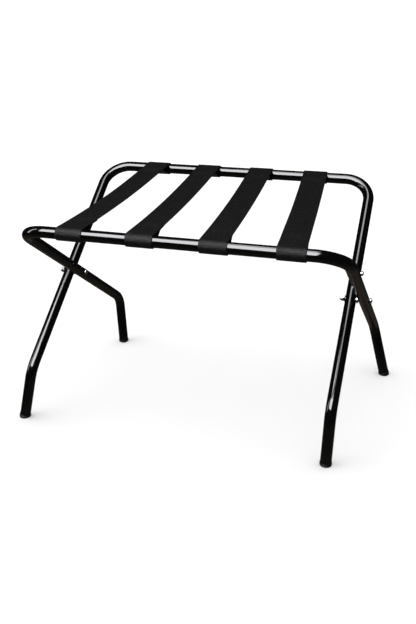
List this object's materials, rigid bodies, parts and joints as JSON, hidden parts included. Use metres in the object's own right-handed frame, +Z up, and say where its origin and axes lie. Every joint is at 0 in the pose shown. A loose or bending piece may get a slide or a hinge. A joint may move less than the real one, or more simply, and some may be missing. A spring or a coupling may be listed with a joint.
{
  "type": "folding luggage rack",
  "caption": "Folding luggage rack: crossed bent-tube frames on pivot bolts, with webbing straps looped over the top rails to carry a suitcase.",
  "frame": {"origin": "centre of the bounding box at floor level, under the pivot line", "axes": "+X along the top rails, +Y from the front rail to the back rail, +Z up"},
  "size_m": [0.74, 0.5128, 0.4554],
  "materials": {
    "black_paint": "gloss",
    "black_rubber": "matte",
    "zinc": "bright",
    "black_nylon": "satin",
    "webbing": "woven"
  },
  "bodies": {
    "front_frame": {"frame_front_rail": "black_paint", "foot_plug_back_left": "black_rubber", "foot_plug_back_right": "black_rubber", "stop_rivet_left": "zinc", "pivot_bolt_left": "zinc", "pivot_bolt_right": "zinc", "pivot_nut_left": "zinc", "pivot_nut_right": "zinc", "pivot_spacer_left": "zinc", "pivot_spacer_right": "zinc", "pivot_washer_head_left": "black_nylon", "pivot_washer_head_right": "black_nylon", "pivot_washer_nut_left": "black_nylon", "pivot_washer_nut_right": "black_nylon", "strap_1": "webbing", "strap_2": "webbing", "strap_3": "webbing", "strap_4": "webbing"},
    "back_frame": {"frame_back_rail": "black_paint", "foot_plug_front_left": "black_rubber", "foot_plug_front_right": "black_rubber", "stop_rivet_right": "zinc"}
  },
  "joints": [
    {"name": "fold", "type": "hinge", "parent": "front_frame", "child": "back_frame", "pos_m": [0, 0, 0.265], "axis": [1, 0, 0], "range_deg": [0, 97], "deforming": ["strap_1", "strap_2", "strap_3", "strap_4"]}
  ]
}
